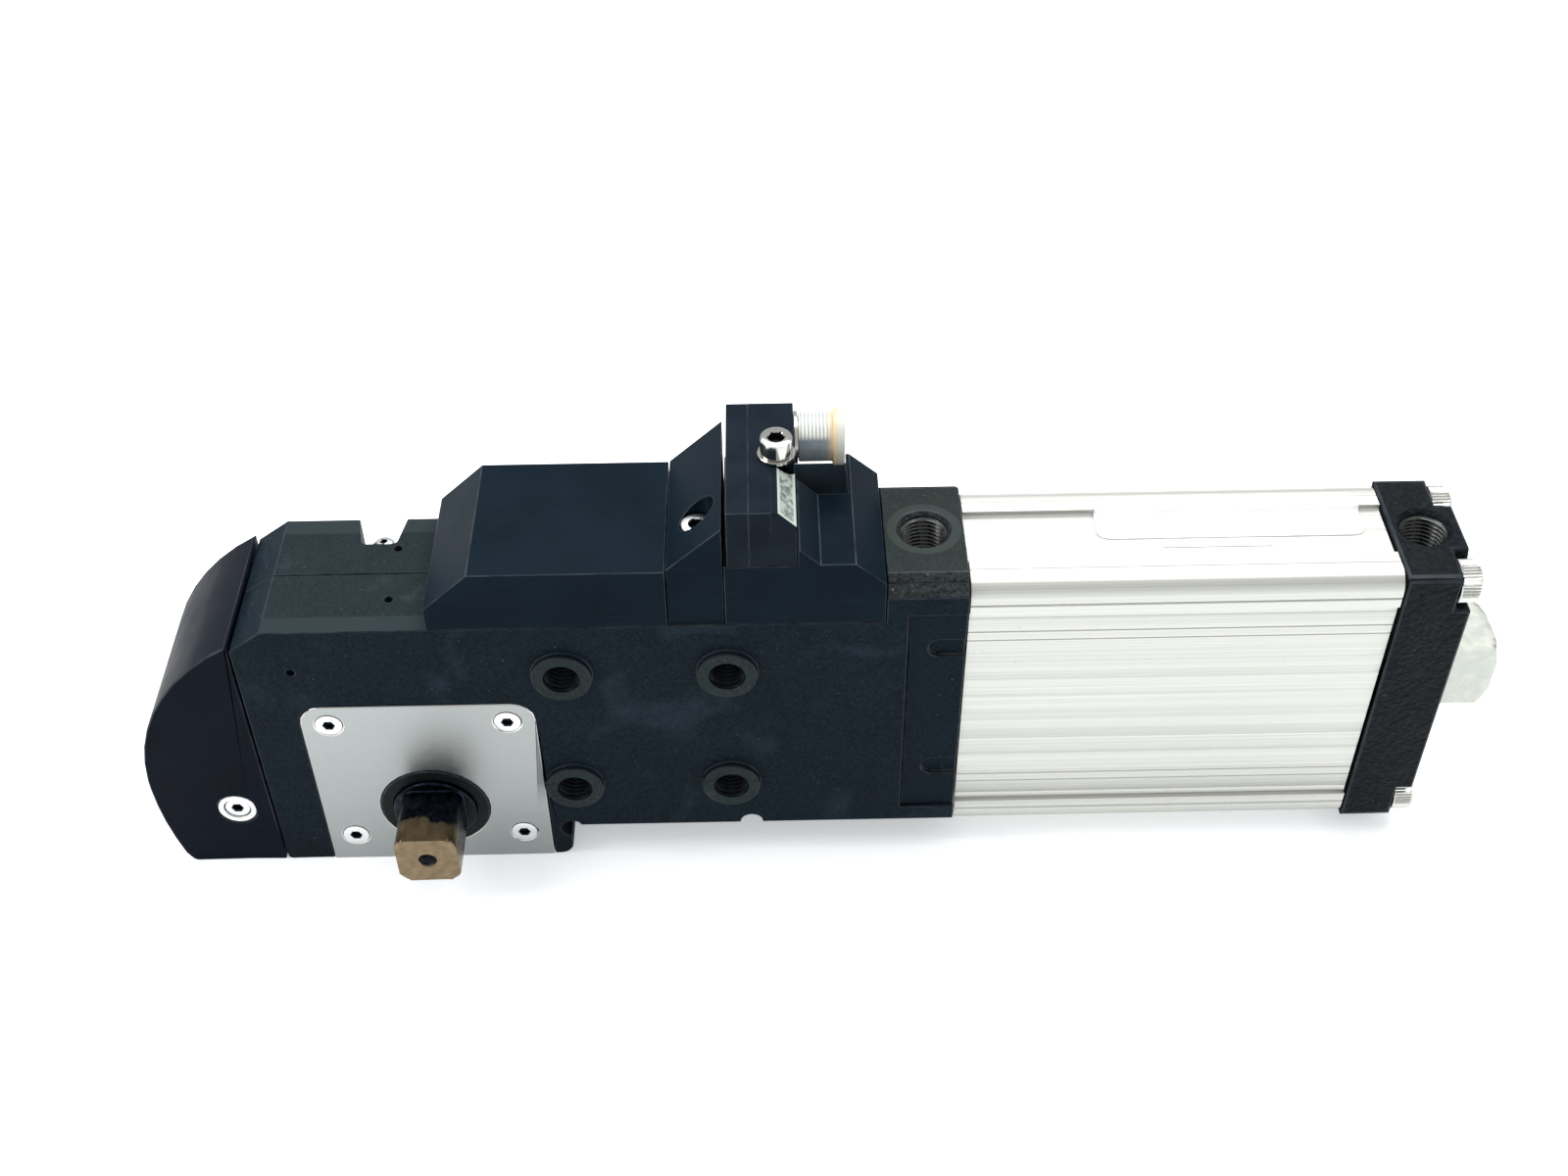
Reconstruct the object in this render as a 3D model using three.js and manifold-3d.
// A 50 mm class pneumatic power clamp with a square arm shaft, as an assembly of separate solids.
// Millimetres, +Z up, +X from the clamp head towards the cylinder's rear cover.
// Inside this file X = 0 is the front end of the upper housing; the finished group is moved so that
// the origin is the middle of the footprint, at the height of the head's base.
import * as THREE from "three";
import { mergeVertices } from "three/addons/utils/BufferGeometryUtils.js";
import Module from "manifold-3d";

const wasm = await Module();
wasm.setup();

// ---- Driving dimensions -------------------------------------------------------------------
const GAP = 0.3; // between neighbouring cast faces
const FIT = 0.1; // radial clearance of fitted round pieces
const SIDES = 18; // facets of a small round piece

// Body
const HALF = 22.8; // half the body width
const HEAD_FRONT = -53.6;
const HEAD_BACK = 31.7;
const HEAD_TOP = 93.8;
const WAIST_Z = 12.6; // underside of the body behind the head
const COVER_X = 122.4; // front end of the port block
const TUBE_X = 144.2; // end of the body, start of the tube
const CHEEK_IN = 19.5; // the body's rear end is two cheeks around the front cover
const WINDOW = { x: 128.4, low: 18, high: 95.7 };
const PANEL = 21.6; // half width of the front cover where it fills the windows

// Arm shaft and drive
const SHAFT = [-6.8, 22.5];
const ROD_Z = 55.6;
const OFFSET = ROD_Z - SHAFT[1]; // of the rod axis above the shaft axis: the arm turns by travel / OFFSET
const OPENING = Math.PI / 2;
const PIN_X = SHAFT[0] - 10; // crosshead pin when the clamp is closed
const JOURNAL = 12;
const SQUARE = 17.5;
const SQUARE_CORNER = 3.2;
const SHAFT_END = 43;
const BUSH_R = 15.7;
const PIN_R = 5;
const SLOT_R = 5.25;
const ROLLER_R = 10;
const POCKET_Y = 7.6; // half width of the lever's pocket
const LEVER_Y = 7.3;
const GUIDE_Y = 17.8; // half width of the roller guide
const GUIDE_H = 10.25; // half height of the roller guide
const CHEEK_Y = [7.8, 12.5]; // the clevis cheeks
const CLEVIS_LENGTH = 36; // from the pin to the clevis's shoulder

// Side plates
const PLATE = { x0: -39.6, x1: 25.8, top: 65.1, face: 23.1, seat: 20 };
const PLATE_CORNER = 6.5;
const PLATE_SCREWS = [[-31.8, 10.6], [17.8, 10.6], [-31.8, 58], [17.8, 58]];
const COUNTERSUNK = { head: 4, shank: 2, depth: 2.1, end: 18.4, socket: 2.5 };

// Nose and head
const NOSE_SCREW = [-64.5, 22.6]; // X and Z, one on each side
const NOSE_RING = { outer: 5.5, inner: 3.9, depth: 6.3, seat: 4.85 };
const DOME = { radius: 3.4, rim: 4.9, top: 6.66 }; // its tall head, from the seat up
const DOME_SCREW = [-17.4, 18.4]; // X and Y, in the notch of the head's top edge
const NOTCH = { x: -17.2, front: 12.2, halfFront: 4.9, halfBack: 6.8, floor: 82.8 };
const RELIEFS = [[31.9, 11.2], [85, 12.6]]; // half round cuts along the lower edge
const RELIEF_R = 3.3;
const FRONT_DOWEL = [-38.7, 78.6]; // X and Z
const TOP_DOWEL = [-11.5, 10.3]; // X and Y, mirrored

// Mounting bosses, four on each side, 45 x 45 mm
const BOSSES = [[34.5, 31.2], [79.5, 31.2], [34.5, 76.2], [79.5, 76.2]];
const BOSS = { radius: 8.3, face: 24.8, hole: 4.25, depth: 15 };

// Cylinder
const TUBE_END = 259.8;
const REAR_X = 260.4;
const REAR_END = 279.6;
const TUBE_HALF = 20.6;
const TUBE_TALL = 48.2; // half the tube's height
const BORE_W = 15; // half width of the oval bore
const BORE_H = 37.5; // half height of the oval bore
const ROD_R = 10;
const CHAMFER = 0.9; // the rear cover's corners
const BOLT_Y = 15.2;
const BOLT_Z = 42.3; // from the rod axis
const PORT_R = 5.9;
const PORT_MOUTH = 7.7; // radius at the outside of the countersink
const PORT_FRONT = 133.4;
const PORT_REAR = 269.6;

// Upper housings and sensor
const WEDGE_SCREW = [72.6, -8.3]; // X and Y
const SENSOR_SCREW = [93.8, 0.6]; // X and Y
const WEDGE_SEAT = 112;
const M5 = { head: 4.25, height: 5, shank: 2.5, hole: 2.65, hex: 4, socket: 2.6 };
const TIE_BOLT = { head: 5.9, height: 6.1, shank: 3, hole: 3.1, hex: 5, seat: 275 };
const SENSOR = { x0: 80.5, split: 86.2, x1: 98.6, low: 114.7, high: 132.6 };
const CONNECTOR = [16, 126.2]; // Y and Z of the connector's axis

const NOSE_TIP = -87.5;
const PLUG_END = 297.1;
const FOOT_CENTRE = (NOSE_TIP + PLUG_END) / 2; // middle of the overall length

// ---- Shape helpers ------------------------------------------------------------------------
function solid(geometry) {
  geometry.deleteAttribute("normal");
  geometry.deleteAttribute("uv");
  const merged = mergeVertices(geometry, 1e-4);
  return new wasm.Manifold(
    new wasm.Mesh({
      numProp: 3,
      vertProperties: merged.attributes.position.array,
      triVerts: new Uint32Array(merged.index.array),
    }),
  );
}

function join(...solids) {
  return solids.reduce((whole, next) => whole.add(next));
}

function block(x0, x1, y0, y1, z0, z1) {
  const box = new THREE.BoxGeometry(x1 - x0, y1 - y0, z1 - z0);
  return solid(box.translate((x0 + x1) / 2, (y0 + y1) / 2, (z0 + z1) / 2));
}

// A straight or tapered cylinder along an axis; at holds its other two coordinates in X, Y, Z order.
function round(axis, at, radius, from, to, { end = radius, sides = SIDES } = {}) {
  const geometry = new THREE.CylinderGeometry(end, radius, to - from, sides);
  geometry.translate(0, (from + to) / 2, 0);
  if (axis === "x") geometry.rotateZ(-Math.PI / 2).translate(0, at[0], at[1]);
  if (axis === "y") geometry.translate(at[0], 0, at[1]);
  if (axis === "z") geometry.rotateX(Math.PI / 2).translate(at[0], at[1], 0);
  return solid(geometry);
}

// A hole whose flats, and not its corners, touch the stated radius.
function bore(axis, at, radius, from, to, sides = SIDES) {
  return round(axis, at, radius / Math.cos(Math.PI / sides), from, to, { sides });
}

// Points that round one corner of an outline.
function fillet(before, [u, v, radius], after, steps) {
  const corner = new THREE.Vector2(u, v);
  const back = new THREE.Vector2(before[0], before[1]).sub(corner).normalize();
  const on = new THREE.Vector2(after[0], after[1]).sub(corner).normalize();
  const half = Math.acos(back.dot(on)) / 2;
  const middle = back.clone().add(on).normalize();
  const centre = middle.multiplyScalar(radius / Math.sin(half)).add(corner);
  const start = back.clone().multiplyScalar(radius / Math.tan(half)).add(corner).sub(centre);
  const turn = -Math.sign(back.cross(on)) * (Math.PI - 2 * half);
  return Array.from({ length: steps + 1 }, (_, i) =>
    start.clone().rotateAround(new THREE.Vector2(), (turn * i) / steps).add(centre),
  );
}

// A closed shape from corners [u, v] or [u, v, radius].
function outline(corners, steps = 4) {
  const points = corners.flatMap((corner, i) => {
    if (!corner[2]) return [new THREE.Vector2(corner[0], corner[1])];
    return fillet(corners.at(i - 1), corner, corners[(i + 1) % corners.length], steps);
  });
  return new THREE.Shape(points);
}

// Corner points along an arc, angles in degrees.
function arc(u, v, radius, from, to, steps) {
  return Array.from({ length: steps + 1 }, (_, i) => {
    const angle = THREE.MathUtils.degToRad(from + ((to - from) * i) / steps);
    return [u + radius * Math.cos(angle), v + radius * Math.sin(angle)];
  });
}

function rectangle(u, v, halfU, halfV, radius = 0) {
  return [
    [u - halfU, v - halfV, radius],
    [u + halfU, v - halfV, radius],
    [u + halfU, v + halfV, radius],
    [u - halfU, v + halfV, radius],
  ];
}

function extrude(shape, from, to) {
  const geometry = new THREE.ExtrudeGeometry(shape, { depth: to - from, bevelEnabled: false });
  return geometry.translate(0, 0, from);
}

// An X-Z shape pulled along Y.
function slab(shape, from, to) {
  return solid(extrude(shape, -to, -from).rotateX(Math.PI / 2));
}

// A Y-Z shape pulled along X.
function bar(shape, from, to) {
  const turn = new THREE.Matrix4().makeBasis(
    new THREE.Vector3(0, 1, 0),
    new THREE.Vector3(0, 0, 1),
    new THREE.Vector3(1, 0, 0),
  );
  return solid(extrude(shape, from, to).applyMatrix4(turn));
}

// The Y range between two distances from the middle plane, on one side of it.
function reach(side, near, far) {
  return side < 0 ? [-far, -near] : [near, far];
}

// The oval section of the bore, piston and seals.
function oval(halfWidth, halfHeight) {
  const lift = halfHeight - halfWidth;
  return outline([
    ...arc(0, ROD_Z + lift, halfWidth, 0, 180, 8),
    ...arc(0, ROD_Z - lift, halfWidth, 180, 360, 8),
  ]);
}

// ---- Scene graph --------------------------------------------------------------------------
const model = new THREE.Group();

function paint(color, roughness, metalness) {
  return new THREE.MeshStandardMaterial({ color, roughness, metalness });
}

const MATERIALS = {
  cast: paint(0x23262d, 0.75, 0.3),
  anodised: paint(0x1f2733, 0.5, 0.4),
  cover: paint(0x1a1c1e, 0.85, 0.2),
  tube: paint(0xd8dad8, 0.35, 0.9),
  stainless: paint(0x9da0a2, 0.35, 0.9),
  zinc: paint(0xc9c6bb, 0.35, 0.9),
  steel: paint(0x55504a, 0.45, 0.9),
  chrome: paint(0xd5d8dc, 0.12, 1),
  bronze: paint(0x8a6a3a, 0.5, 0.8),
  rubber: paint(0x111111, 0.8, 0),
  plastic: paint(0x2b323c, 0.5, 0),
  clear: paint(0xc9cfc4, 0.3, 0),
  board: paint(0x1d5c38, 0.5, 0),
  paper: paint(0xf2f2f0, 0.6, 0),
};

function part(name, shape, material) {
  const mesh = shape.getMesh();
  const geometry = new THREE.BufferGeometry();
  geometry.setAttribute("position", new THREE.BufferAttribute(mesh.vertProperties, 3));
  geometry.setIndex(new THREE.BufferAttribute(mesh.triVerts, 1));
  geometry.computeVertexNormals();
  const node = new THREE.Mesh(geometry, MATERIALS[material].clone());
  node.name = name;
  model.add(node);
}

const ENDS = [["front", -1], ["rear", 1]];

// ---- Body halves, nose and side plates ----------------------------------------------------
function bodyProfile() {
  return outline([
    [HEAD_FRONT, 0, 1.5],
    [HEAD_BACK, 0, 4],
    [HEAD_BACK, WAIST_Z],
    [TUBE_X, WAIST_Z],
    [TUBE_X, 102.2],
    [COVER_X, 102.2],
    [COVER_X, HEAD_TOP],
    [-44.4, HEAD_TOP],
    [HEAD_FRONT, 87.2],
  ]);
}

// The hollow that the lever and the clevis move in.
function driveRoom() {
  const swing = round("y", SHAFT, 64, -POCKET_Y, POCKET_Y, { sides: 64 });
  const limits = block(-50.4, 58, -POCKET_Y, POCKET_Y, 4, 88);
  const guide = block(PIN_X - 11.2, 74, -GUIDE_Y, GUIDE_Y, ROD_Z - GUIDE_H, ROD_Z + GUIDE_H);
  const rodWay = bore("x", [0, ROD_Z], 11, 73, COVER_X + 1, 32);
  return join(swing.intersect(limits), guide, rodWay);
}

function bodyHalf(side) {
  const [low, high] = reach(side, GAP / 2, HALF);
  const shoulder = [[CHEEK_IN, 100], [HALF, 100], [HALF, 102.2], [CHEEK_IN, 104.75]];
  const mirrored = shoulder.map(([y, z]) => [side * y, z]);
  let half = slab(bodyProfile(), low, high).add(bar(outline(mirrored), COVER_X, TUBE_X));
  for (const at of BOSSES) {
    half = half.add(round("y", at, BOSS.radius, ...reach(side, 20, BOSS.face), { sides: 32 }));
  }
  half = half.subtract(driveRoom());
  half = half.subtract(bore("y", SHAFT, BUSH_R + FIT, ...reach(side, 0, HALF + 1), 32));
  half = half.subtract(block(COVER_X, TUBE_X + 1, -CHEEK_IN, CHEEK_IN, 10, 107));
  const window = reach(side, 15, HALF + 1);
  half = half.subtract(block(WINDOW.x, TUBE_X + 1, ...window, WINDOW.low, WINDOW.high));
  half = half.subtract(slab(plateEdge(0.2), ...reach(side, PLATE.seat, HALF + 1)));
  for (const at of BOSSES) {
    const thread = reach(side, BOSS.face - BOSS.depth, BOSS.face + 1);
    half = half.subtract(bore("y", at, BOSS.hole, ...thread));
  }
  for (const at of PLATE_SCREWS) {
    half = half.subtract(bore("y", at, 2.15, ...reach(side, 18.2, HALF + 1), 10));
  }
  for (const at of RELIEFS) {
    half = half.subtract(round("y", at, RELIEF_R, ...reach(side, 0, HALF + 1)));
  }
  const [dowelX, dowelY] = TOP_DOWEL;
  half = half.subtract(round("y", FRONT_DOWEL, 1.25, ...reach(side, 12, HALF + 1), { sides: 10 }));
  half = half.subtract(round("z", [dowelX, side * dowelY], 1.2, 85, HEAD_TOP + 1, { sides: 10 }));
  return side < 0 ? half : half.subtract(screwNotch());
}

// The notch in the head's top edge that the dome screw stands in, wider towards the outside.
function screwNotch() {
  const { x, front, halfFront, halfBack, floor } = NOTCH;
  const plan = outline([
    [x - halfFront, front, 1.5],
    [x + halfFront, front, 1.5],
    [x + halfBack, HALF + 1],
    [x - halfBack, HALF + 1],
  ]);
  const open = solid(extrude(plan, floor, HEAD_TOP + 1));
  return open.add(bore("z", DOME_SCREW, 2.15, floor - 8.2, floor + 0.4, 10));
}

// The side plate's edge, grown by clearance for the pocket that it lies in.
function plateEdge(clearance) {
  const { x0, x1, top } = PLATE;
  const corner = PLATE_CORNER + clearance;
  return outline([
    [x0 - clearance, -5 * clearance],
    [x1 + clearance, -5 * clearance],
    [x1 + clearance, top + clearance, corner],
    [x0 - clearance, top + clearance, corner],
  ]);
}

function noseCover() {
  const face = outline([
    [-54.2, 0, 0.6],
    [-81.4, 0, 3],
    ...arc(24.8, 32.7, 112.3, 195.2, 180, 4),
    ...arc(-23.5, 32.7, 64, 177, 119.2, 9),
    [-54.2, 88.4],
  ]);
  const hollow = outline([[-54, 30], [-72, 30, 6], [-70, 66, 6], [-54, 80]]);
  let nose = slab(face, -HALF, HALF).subtract(slab(hollow, -15, 15));
  for (const [, side] of ENDS) {
    const seat = reach(side, HALF - NOSE_RING.depth - 0.2, HALF + 1);
    nose = nose.subtract(bore("y", NOSE_SCREW, NOSE_RING.outer + FIT, ...seat));
    nose = nose.subtract(bore("y", NOSE_SCREW, 2.6, ...reach(side, HALF - 16, HALF), 10));
  }
  return nose;
}

function hexSocket(axis, at, acrossFlats, from, to) {
  return round(axis, at, acrossFlats / Math.sqrt(3), from, to, { sides: 6 });
}

function noseScrew(side) {
  const head = round("y", NOSE_SCREW, 3.75, ...reach(side, HALF - 4.8, HALF - 0.7));
  const shank = round("y", NOSE_SCREW, 2.5, ...reach(side, HALF - 15, HALF - 4.5), { sides: 10 });
  return head.add(shank).subtract(hexSocket("y", NOSE_SCREW, 2.5, ...reach(side, HALF - 3, HALF)));
}

// A cup washer: the screw's head sits inside the ring.
function noseWasher(side) {
  const { outer, inner, depth, seat } = NOSE_RING;
  const ring = round("y", NOSE_SCREW, outer, ...reach(side, HALF - depth, HALF - 0.25));
  const cup = bore("y", NOSE_SCREW, inner, ...reach(side, HALF - seat, HALF + 1));
  const hole = bore("y", NOSE_SCREW, 2.65, ...reach(side, HALF - depth - 1, HALF), 10);
  return ring.subtract(cup).subtract(hole);
}

function domeScrew() {
  const { radius, rim, top } = DOME;
  const dome = arc(0, rim - 2.4, 4.16, 35.2, 85, 4);
  const profile = [[0, -7.5], [2, -7.5], [2, 0], [radius, 0], [radius, rim], ...dome.slice(1), [0, top]];
  const lathe = new THREE.LatheGeometry(profile.map(([r, h]) => new THREE.Vector2(r, h)), 16);
  const screw = solid(lathe.rotateX(Math.PI / 2)).subtract(hexSocket("z", [0, 0], 2, top - 1.2, top + 1));
  return screw.translate([...DOME_SCREW, NOTCH.floor + 0.1]);
}

function sidePlate(side) {
  const { face, seat } = PLATE;
  let plate = slab(plateEdge(0), ...reach(side, seat + 0.05, face));
  plate = plate.subtract(bore("y", SHAFT, BUSH_R + FIT, ...reach(side, seat - 1, face + 1), 32));
  for (const at of PLATE_SCREWS) {
    plate = plate.subtract(countersink(at, side, 0.15));
  }
  return plate;
}

// The shape of a countersunk screw, grown by clearance for the hole that it sits in.
function countersink(at, side, clearance) {
  const { head, shank, depth, end } = COUNTERSUNK;
  const [low, high] = reach(side, PLATE.face - depth, PLATE.face + (clearance ? 0.01 : 0));
  const sizes = [shank + clearance, head + clearance];
  if (side < 0) sizes.reverse();
  const cone = round("y", at, sizes[0], low, high, { end: sizes[1] });
  const stem = reach(side, end, PLATE.face - depth + 0.1);
  return cone.add(round("y", at, shank + clearance, ...stem, { sides: 10 }));
}

function plateScrew(at, side) {
  const socket = reach(side, PLATE.face - 1.6, PLATE.face + 1);
  return countersink(at, side, 0).subtract(hexSocket("y", at, COUNTERSUNK.socket, ...socket));
}

for (const [end, side] of ENDS) {
  part(`body_${end}_half`, bodyHalf(side), "cast");
  part(`side_plate_${end}`, sidePlate(side), "stainless");
  PLATE_SCREWS.forEach((at, i) => {
    part(`plate_screw_${end}_${i + 1}`, plateScrew(at, side), "stainless");
  });
  part(`nose_screw_${end}`, noseScrew(side), "stainless");
  part(`nose_washer_${end}`, noseWasher(side), "stainless");
}
part("nose_cover", noseCover(), "anodised");
part("head_dome_screw", domeScrew(), "stainless");

// ---- Arm shaft, lever and bushings --------------------------------------------------------
function armShaft() {
  const journal = round("y", SHAFT, JOURNAL, -24.7, 24.7, { sides: 32 });
  const section = outline(rectangle(...SHAFT, SQUARE / 2, SQUARE / 2, SQUARE_CORNER), 5);
  const square = slab(section, -SHAFT_END, SHAFT_END);
  const turned = join(
    round("y", SHAFT, 11.4, -SHAFT_END + 1, SHAFT_END - 1, { sides: 32 }),
    round("y", SHAFT, 10.4, -SHAFT_END, -SHAFT_END + 1, { end: 11.4, sides: 32 }),
    round("y", SHAFT, 11.4, SHAFT_END - 1, SHAFT_END, { end: 10.4, sides: 32 }),
  );
  let shaft = journal.add(square.intersect(turned));
  for (const [, side] of ENDS) {
    shaft = shaft.subtract(bore("y", SHAFT, 2.5, ...reach(side, SHAFT_END - 14, SHAFT_END + 1)));
  }
  return shaft.subtract(keyRoom(0.05));
}

function keyRoom(clearance) {
  const x = SHAFT[0];
  const z = SHAFT[1] + 8.5;
  const half = 3 + clearance;
  const deep = LEVER_Y + clearance;
  return block(x - half, x + half, -deep, deep, z - clearance, z + 6.2 + clearance);
}

// Centre of the crosshead pin seen from the lever, after the lever has turned by angle.
function slotPoint(angle) {
  const x = PIN_X - SHAFT[0] + OFFSET * angle;
  const turned = new THREE.Vector2(x, OFFSET).rotateAround(new THREE.Vector2(), angle);
  return [SHAFT[0] + turned.x, SHAFT[1] + turned.y];
}

// The curved slot: the path of the pin, so that lever and rod keep one constant ratio.
function leverSlot() {
  const steps = 12;
  const points = Array.from({ length: steps + 1 }, (_, i) => slotPoint((OPENING * i) / steps));
  let slot = bore("y", points[0], SLOT_R, -9, 9);
  points.slice(1).forEach(([x, z], i) => {
    const [x0, z0] = points[i];
    slot = slot.add(bore("y", [x, z], SLOT_R, -9, 9));
    const length = Math.hypot(x - x0, z - z0);
    const run = block(-length / 2, length / 2, -9, 9, -SLOT_R, SLOT_R);
    const tilt = THREE.MathUtils.radToDeg(Math.atan2(z - z0, x - x0));
    slot = slot.add(run.rotate([0, -tilt, 0]).translate([(x + x0) / 2, 0, (z + z0) / 2]));
  });
  return slot;
}

function driveLever() {
  const [sx, sz] = SHAFT;
  const start = slotPoint(0);
  const end = slotPoint(OPENING);
  const web = outline([
    [sx - 17.5, sz - 3],
    [end[0] - 8.7, end[1] - 2.4],
    [end[0] - 2.9, end[1] + 8.5],
    [start[0] + 4, start[1] + 9.6],
    [start[0] + 10.3, start[1]],
    [sx + 14, sz + 9],
    [sx, sz],
  ]);
  const lever = join(
    slab(web, -LEVER_Y, LEVER_Y),
    round("y", SHAFT, 18, -LEVER_Y, LEVER_Y, { sides: 24 }),
    round("y", start, 10.4, -LEVER_Y, LEVER_Y),
    round("y", end, 9, -LEVER_Y, LEVER_Y),
  );
  const shaftHole = bore("y", SHAFT, JOURNAL + FIT, -9, 9, 32);
  return lever.subtract(shaftHole).subtract(leverSlot()).subtract(keyRoom(0.05));
}

function bushing(side) {
  const length = reach(side, POCKET_Y + 0.1, PLATE.face + 0.3);
  const sleeve = round("y", SHAFT, BUSH_R, ...length, { sides: 32 });
  return sleeve.subtract(bore("y", SHAFT, JOURNAL + FIT, ...reach(side, 5, 26), 32));
}

part("arm_shaft", armShaft(), "steel");
part("drive_lever", driveLever(), "steel");
part("lever_key", keyRoom(-0.05), "steel");
for (const [end, side] of ENDS) {
  part(`shaft_bushing_${end}`, bushing(side), "bronze");
}

// ---- Rod, crosshead and piston ------------------------------------------------------------
function rodClevis() {
  const near = PIN_X + 18;
  const far = PIN_X + CLEVIS_LENGTH;
  const base = block(near, far, -CHEEK_Y[1], CHEEK_Y[1], ROD_Z - 9.5, ROD_Z + 9.5);
  const ear = outline([
    ...arc(PIN_X, ROD_Z, 9.5, 90, 270, 10),
    [near + 1, ROD_Z - 9.5],
    [near + 1, ROD_Z + 9.5],
  ]);
  const ears = ENDS.map(([, side]) => slab(ear, ...reach(side, ...CHEEK_Y)));
  return join(base, ...ears)
    .subtract(bore("y", [PIN_X, ROD_Z], PIN_R + 0.05, -20, 20))
    .subtract(bore("x", [0, ROD_Z], 6.1, far - 14.5, far + 1));
}

function guideRoller(side) {
  const width = reach(side, CHEEK_Y[1] + 0.3, GUIDE_Y - 0.4);
  const ring = round("y", [PIN_X, ROD_Z], ROLLER_R, ...width, { sides: 32 });
  return ring.subtract(bore("y", [PIN_X, ROD_Z], PIN_R + FIT, -20, 20));
}

function pistonRod() {
  const start = PIN_X + CLEVIS_LENGTH + 0.1;
  return join(
    round("x", [0, ROD_Z], 6, start - 14, start + 1),
    round("x", [0, ROD_Z], ROD_R, start, 148, { sides: 32 }),
    round("x", [0, ROD_Z], 6, 147, 183),
  );
}

function piston() {
  let body = bar(oval(BORE_W - 0.3, BORE_H - 0.3), 149, 175);
  for (const x of [153.8, 165.8]) {
    const groove = bar(oval(BORE_W + 1, BORE_H + 1), x, x + 4.4);
    body = body.subtract(groove.subtract(bar(oval(BORE_W - 3.2, BORE_H - 3.2), x - 1, x + 6)));
  }
  const collar = round("x", [0, ROD_Z], 11, 148.1, 149.5);
  return body.add(collar).subtract(bore("x", [0, ROD_Z], 6.1, 140, 180));
}

function pistonSeal(x) {
  const ring = bar(oval(BORE_W - 0.05, BORE_H - 0.05), x + 0.15, x + 4.25);
  return ring.subtract(bar(oval(BORE_W - 3.1, BORE_H - 3.1), x - 1, x + 6));
}

function pistonNut() {
  const hex = round("x", [0, ROD_Z], 19 / Math.sqrt(3), 175.1, 182, { sides: 6 });
  return hex.subtract(bore("x", [0, ROD_Z], 6.1, 170, 190));
}

part("rod_clevis", rodClevis(), "steel");
part("crosshead_pin", round("y", [PIN_X, ROD_Z], PIN_R, -17.5, 17.5), "steel");
for (const [end, side] of ENDS) {
  part(`guide_roller_${end}`, guideRoller(side), "steel");
}
part("piston_rod", pistonRod(), "chrome");
part("piston", piston(), "tube");
part("piston_seal_front", pistonSeal(153.8), "rubber");
part("piston_seal_rear", pistonSeal(165.8), "rubber");
part("piston_nut", pistonNut(), "zinc");

// ---- Cylinder -----------------------------------------------------------------------------
const BOLTS = [-1, 1].flatMap((y) => [-1, 1].map((z) => [y * BOLT_Y, ROD_Z + z * BOLT_Z]));

function frontCover() {
  const inside = CHEEK_IN - GAP;
  const section = outline([
    [-inside, 13],
    [inside, 13],
    [inside, 104.6],
    [17.2, 106.5],
    [-17.2, 106.5],
    [-inside, 104.6],
  ]);
  const [low, high] = [WINDOW.low + GAP, WINDOW.high - GAP];
  const wings = block(WINDOW.x + GAP, TUBE_X, -PANEL, PANEL, low, high);
  let cover = bar(section, COVER_X + 0.1, TUBE_X).add(wings);
  for (const [, side] of ENDS) {
    for (const z of [82.3, 34.6]) {
      const groove = [[137, z - 3.15], [150, z - 3.15], [150, z + 3.15], [137, z + 3.15]];
      cover = cover.subtract(slab(outline(groove), ...reach(side, 20.4, HALF)));
      cover = cover.subtract(round("y", [137.2, z], 3.15, ...reach(side, 20.4, HALF)));
    }
  }
  cover = cover.subtract(bore("x", [0, ROD_Z], 13.1, 126, 150, 32));
  cover = cover.subtract(bore("x", [0, ROD_Z], 10.4, 120, 130, 32));
  cover = cover.subtract(portHole(PORT_FRONT, 106.5));
  cover = cover.subtract(round("x", [0, 88.2], 2.5, PORT_FRONT, TUBE_X + 1, { sides: 10 }));
  for (const at of BOLTS) {
    cover = cover.subtract(bore("x", at, 3.1, 128, TUBE_X + 1, 10));
  }
  return cover;
}

// A tapped port from above, with its countersink and the drilling below it.
function portHole(x, top) {
  return join(
    bore("z", [x, 0], PORT_R, top - 15, top + 1, 32),
    round("z", [x, 0], PORT_R, top - 1.8, top + 0.001, { end: PORT_MOUTH, sides: 32 }),
    round("z", [x, 0], 2.5, 86.5, top - 14, { sides: 10 }),
  );
}

function cylinderTube() {
  let tube = bar(outline(rectangle(0, ROD_Z, TUBE_HALF, TUBE_TALL, 5.4)), TUBE_X + 0.6, TUBE_END);
  for (const side of [-1, 1]) {
    const y = side * (TUBE_HALF - 1);
    tube = tube.subtract(bar(outline(rectangle(y + side * 1.5, ROD_Z, 2, 38, 0.8)), 140, 270));
    const z = ROD_Z + side * (TUBE_TALL - 0.4);
    tube = tube.subtract(bar(outline(rectangle(0, z + side, 9.8, 2.4, 0.6)), 140, 270));
  }
  tube = tube.subtract(bar(oval(BORE_W, BORE_H), 140, 270));
  for (const at of BOLTS) {
    tube = tube.subtract(bore("x", at, 3.3, 140, 270, 10));
  }
  return tube;
}

function gasket(x) {
  const ring = bar(oval(BORE_W + 2.2, BORE_H + 2.2), x, x + 0.5);
  return ring.subtract(bar(oval(BORE_W + 0.4, BORE_H + 0.4), x - 1, x + 2));
}

// The rear cover's outline, with its corners cut.
function rearSection() {
  const corners = arc(0, 0, 1, 45, 315, 3).flatMap(([u, v]) => {
    const y = Math.sign(u);
    const z = Math.sign(v);
    const across = [y * (TUBE_HALF - CHAMFER), ROD_Z + z * TUBE_TALL];
    const up = [y * TUBE_HALF, ROD_Z + z * (TUBE_TALL - CHAMFER)];
    return y * z > 0 ? [up, across] : [across, up];
  });
  return outline(corners);
}

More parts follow.
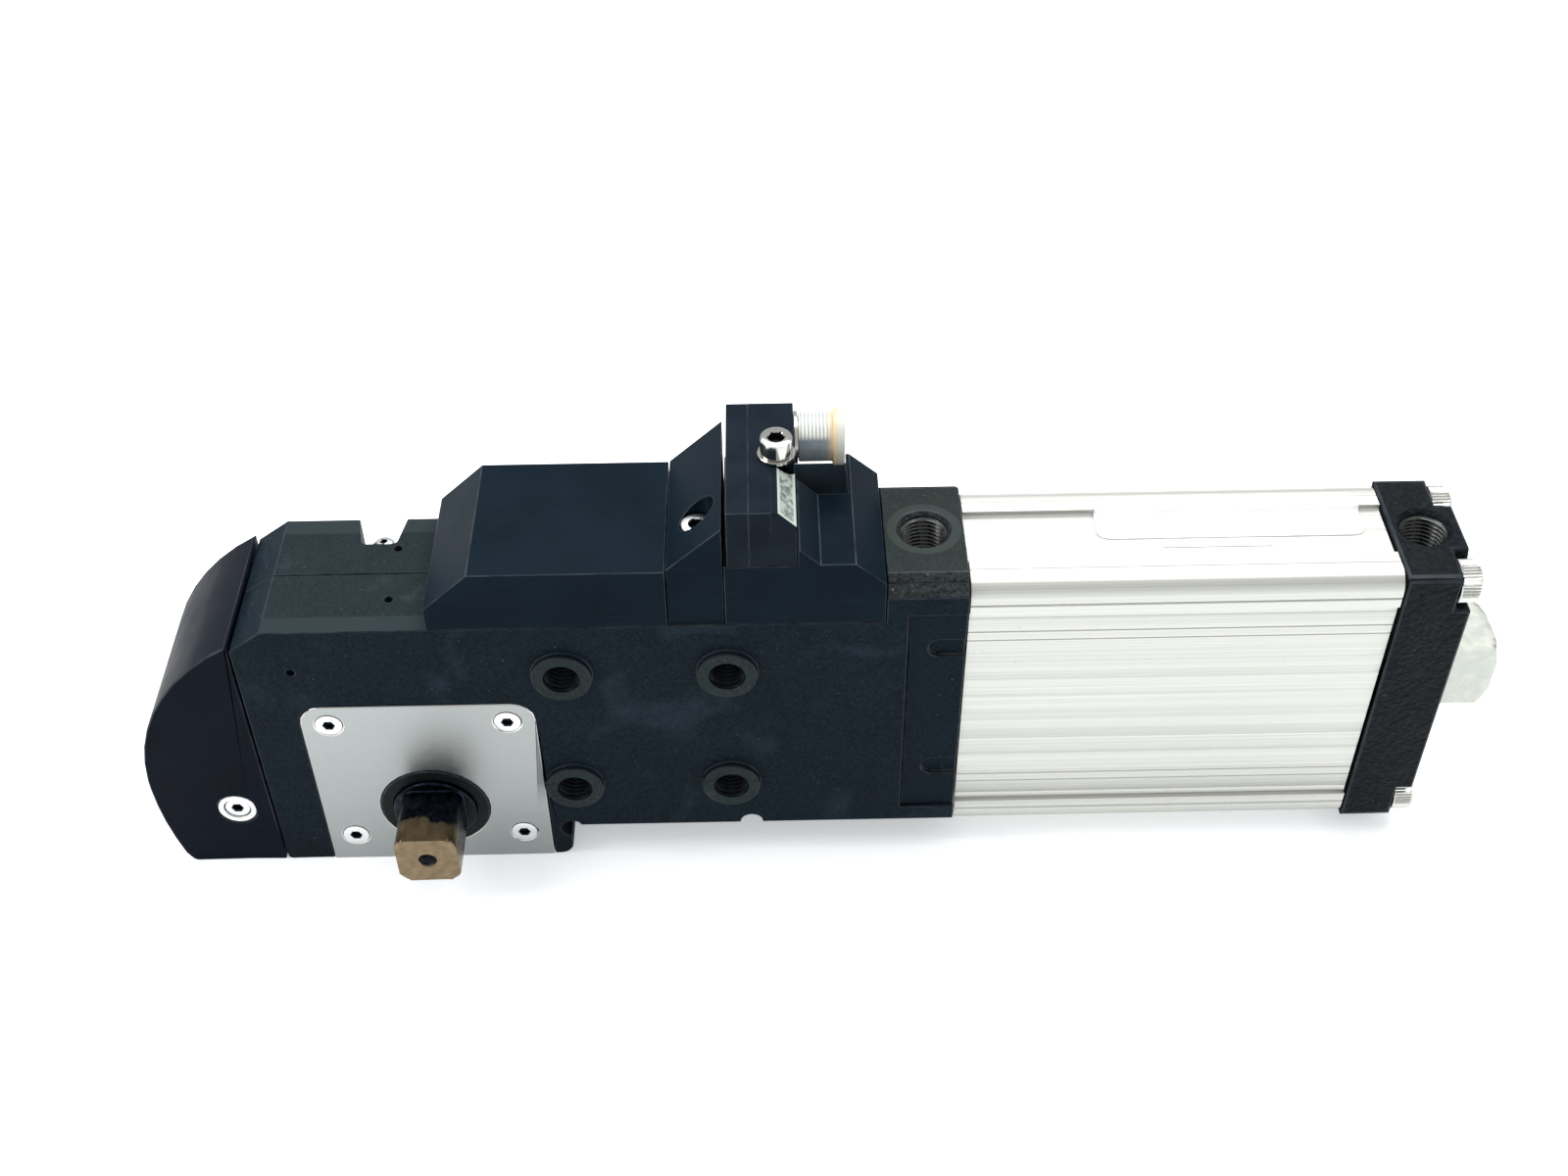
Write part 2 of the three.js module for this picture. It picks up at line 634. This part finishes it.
function rearCover() {
  let cover = bar(rearSection(), REAR_X, REAR_END);
  const [seat, reachOut] = [6.2, 12];
  for (const [y, z] of BOLTS) {
    const outY = Math.sign(y) * reachOut;
    const outZ = Math.sign(z - ROD_Z) * reachOut;
    const beside = outline(rectangle(y + outY / 2, z + outZ / 4, 6, seat + 3));
    const above = outline(rectangle(y + outY / 4, z + outZ / 2, seat + 3, 6));
    const corner = join(
      round("x", [y, z], seat, TIE_BOLT.seat, REAR_END + 1),
      bar(beside, TIE_BOLT.seat, REAR_END + 1),
      bar(above, TIE_BOLT.seat, REAR_END + 1),
    );
    cover = cover.subtract(corner).subtract(bore("x", [y, z], TIE_BOLT.hole, 250, 280, 10));
  }
  cover = cover.subtract(bore("x", [0, ROD_Z], 6.2, 268, REAR_END + 1));
  cover = cover.subtract(portHole(PORT_REAR, ROD_Z + TUBE_TALL));
  return cover.subtract(round("x", [0, 88.2], 2.5, REAR_X - 1, PORT_REAR, { sides: 10 }));
}

function tieBolt(at) {
  const top = TIE_BOLT.seat + 0.1 + TIE_BOLT.height;
  const head = round("x", at, TIE_BOLT.head, TIE_BOLT.seat + 0.1, top, { sides: 24 });
  const shank = round("x", at, TIE_BOLT.shank, 129, TIE_BOLT.seat + 0.5, { sides: 10 });
  return head.add(shank).subtract(hexSocket("x", at, TIE_BOLT.hex, top - 3.2, top + 1));
}

function rearPlug() {
  const square = bar(outline(rectangle(0, ROD_Z, 10.6, 10.6)), REAR_END + 0.2, PLUG_END);
  const shoulder = PLUG_END - 3.5;
  const turned = join(
    round("x", [0, ROD_Z], 15.4, REAR_END, shoulder, { sides: 32 }),
    round("x", [0, ROD_Z], 15.4, shoulder, PLUG_END, { end: 11.6, sides: 32 }),
  );
  return square.intersect(turned).add(round("x", [0, ROD_Z], 6, 269, REAR_END + 1));
}

function ringAlongRod(outer, from, to) {
  const ring = round("x", [0, ROD_Z], outer, from, to, { sides: 32 });
  return ring.subtract(bore("x", [0, ROD_Z], ROD_R + FIT, 100, 200, 32));
}

function dataLabel() {
  const floor = ROD_Z + TUBE_TALL - 1.8;
  const land = ROD_Z + TUBE_TALL;
  const strip = [
    [-0.5, floor + 0.05],
    [9.1, floor + 0.05],
    [9.7, floor + 0.7],
    [9.7, land + 0.05],
    [14.8, land + 0.05],
    [14.8, land + 0.25],
    [9.5, land + 0.25],
    [9.5, floor + 0.8],
    [9, floor + 0.25],
    [-0.5, floor + 0.25],
  ];
  return bar(outline(strip), 181, 254);
}

part("cylinder_front_cover", frontCover(), "cast");
part("rod_bushing", ringAlongRod(13, 126.2, 139), "bronze");
part("rod_seal", ringAlongRod(13, 139.3, 143.8), "rubber");
part("front_gasket", gasket(TUBE_X + 0.05), "rubber");
part("cylinder_tube", cylinderTube(), "tube");
part("rear_gasket", gasket(TUBE_END + 0.05), "rubber");
part("cylinder_rear_cover", rearCover(), "cover");
BOLTS.forEach((at, i) => part(`tie_bolt_${i + 1}`, tieBolt(at), "zinc"));
part("rear_plug", rearPlug(), "zinc");
part("data_label", dataLabel(), "paper");

// ---- Upper housings, sensor and connector -------------------------------------------------
function leftHousing() {
  const low = HEAD_TOP + 0.1;
  const side = outline([[0, low], [64.2, low], [64.2, 113], [12.8, 113], [0, 101.1]]);
  const hollow = block(9, 58, -16, 16, HEAD_TOP - 1, 107);
  return slab(side, -HALF + 0.1, HALF - 0.1).subtract(hollow);
}

function wedgeBlock() {
  const low = HEAD_TOP + 0.1;
  const side = outline([[64.5, low], [79.3, low], [79.3, 127], [64.5, 113.2]]);
  return slab(side, -HALF + 0.7, HALF - 0.1)
    .subtract(bore("z", WEDGE_SCREW, M5.head + 0.35, WEDGE_SEAT, 130))
    .subtract(bore("z", WEDGE_SCREW, M5.hole, 90, WEDGE_SEAT + 1, 10));
}

// A socket head screw that points down: its head rests on seat and its shank ends at end.
function capScrew(at, seat, end) {
  const top = seat + M5.height;
  const head = round("z", at, M5.head, seat, top, { sides: 24 });
  const shank = round("z", at, M5.shank, end, seat + 0.5, { sides: 10 });
  return head.add(shank).subtract(hexSocket("z", at, M5.hex, top - M5.socket, top + 1));
}

function rightHousing() {
  const low = HEAD_TOP + 0.1;
  const side = outline([
    [79.6, low],
    [122.1, low],
    [122.1, 107.5],
    [114, 114.7],
    [104.8, 114.7],
    [99.4, 119.9],
    [98.9, 119.9],
    [98.9, SENSOR.low - GAP],
    [79.6, SENSOR.low - GAP],
  ]);
  const underPlug = block(98.8, 113, 5.7, HALF + 1, 111.5, 121);
  const screwHole = bore("z", SENSOR_SCREW, M5.hole, 104, 116, 12);
  return slab(side, -HALF + 0.1, HALF - 0.1).subtract(underPlug).subtract(screwHole);
}

function sensorBody() {
  const { split, x1, low, high } = SENSOR;
  let body = block(split + 0.15, x1, -HALF + 0.1, HALF - 0.1, low, high);
  body = body.subtract(block(x1 - 6.4, x1 + 1, -HALF, 0.2, high - 6.4, high + 1));
  body = body.subtract(bore("z", SENSOR_SCREW, M5.hole, 110, 135, 10));
  body = body.subtract(bore("x", CONNECTOR, 5.3, 90, 100));
  return body;
}

function ledWindow() {
  const { x1, high } = SENSOR;
  const face = outline([
    [x1 - 6.2, high - 6.2],
    [x1, high - 6.2],
    [x1, high - 4.8],
    [x1 - 4.8, high],
    [x1 - 6.2, high],
  ]);
  const strip = slab(face, -HALF + 0.15, 0);
  return strip.subtract(round("z", SENSOR_SCREW, 5.2, 125, 135));
}

function connectorStub() {
  const [y, z] = CONNECTOR;
  const tail = round("x", [y, z], 5.2, 91, 99.2);
  const flange = round("x", [y, z], 7.2, 98.7, 99.7, { sides: 32 });
  const thread = round("x", [y, z], 5.7, 99.5, 107, { sides: 32 });
  const socket = bore("x", [y, z], 4.2, 100.5, 108);
  const pins = [-1, 1].flatMap((a) => [-1, 1].map((b) => [y + a * 1.8, z + b * 1.8]));
  const contacts = pins.map((at) => round("x", at, 0.5, 100, 106, { sides: 8 }));
  return join(join(tail, flange, thread).subtract(socket), ...contacts);
}

function sensorEndPlate() {
  const { x0, split, low, high } = SENSOR;
  return block(x0, split, -HALF + 0.1, HALF - 0.1, low, high);
}

function sensorWasher() {
  const { high } = SENSOR;
  const washer = round("z", SENSOR_SCREW, 5, high + 0.05, high + 1.05, { sides: 32 });
  return washer.subtract(bore("z", SENSOR_SCREW, 2.7, 130, 135, 10));
}

function connectorCap() {
  const [y, z] = CONNECTOR;
  const shell = join(
    round("x", [y, z], 6.7, 99.9, 109, { sides: 32 }),
    round("x", [y, z], 7.75, 108.9, 112.2, { sides: 32 }),
  );
  const flat = block(101.5, 107.5, y - 2.2, y + 2.2, z + 6.35, z + 8);
  return shell.subtract(bore("x", [y, z], 5.9, 90, 109.6, 32)).subtract(flat);
}

part("upper_housing_left", leftHousing(), "anodised");
part("wedge_block", wedgeBlock(), "anodised");
part("wedge_screw", capScrew(WEDGE_SCREW, WEDGE_SEAT + 0.2, HEAD_TOP + 0.3), "stainless");
part("upper_housing_right", rightHousing(), "anodised");
part("sensor_end_plate", sensorEndPlate(), "plastic");
part("sensor_body", sensorBody(), "plastic");
part("led_window", ledWindow(), "clear");
part("sensor_screw", capScrew(SENSOR_SCREW, SENSOR.high + 1.1, 105), "stainless");
part("sensor_washer", sensorWasher(), "stainless");
part("m12_connector", connectorStub(), "zinc");
part("connector_cap", connectorCap(), "clear");
part("sensor_board", block(12, 56, -15, 15, 99.5, 101), "board");

model.position.x = -FOOT_CENTRE;
export default model;
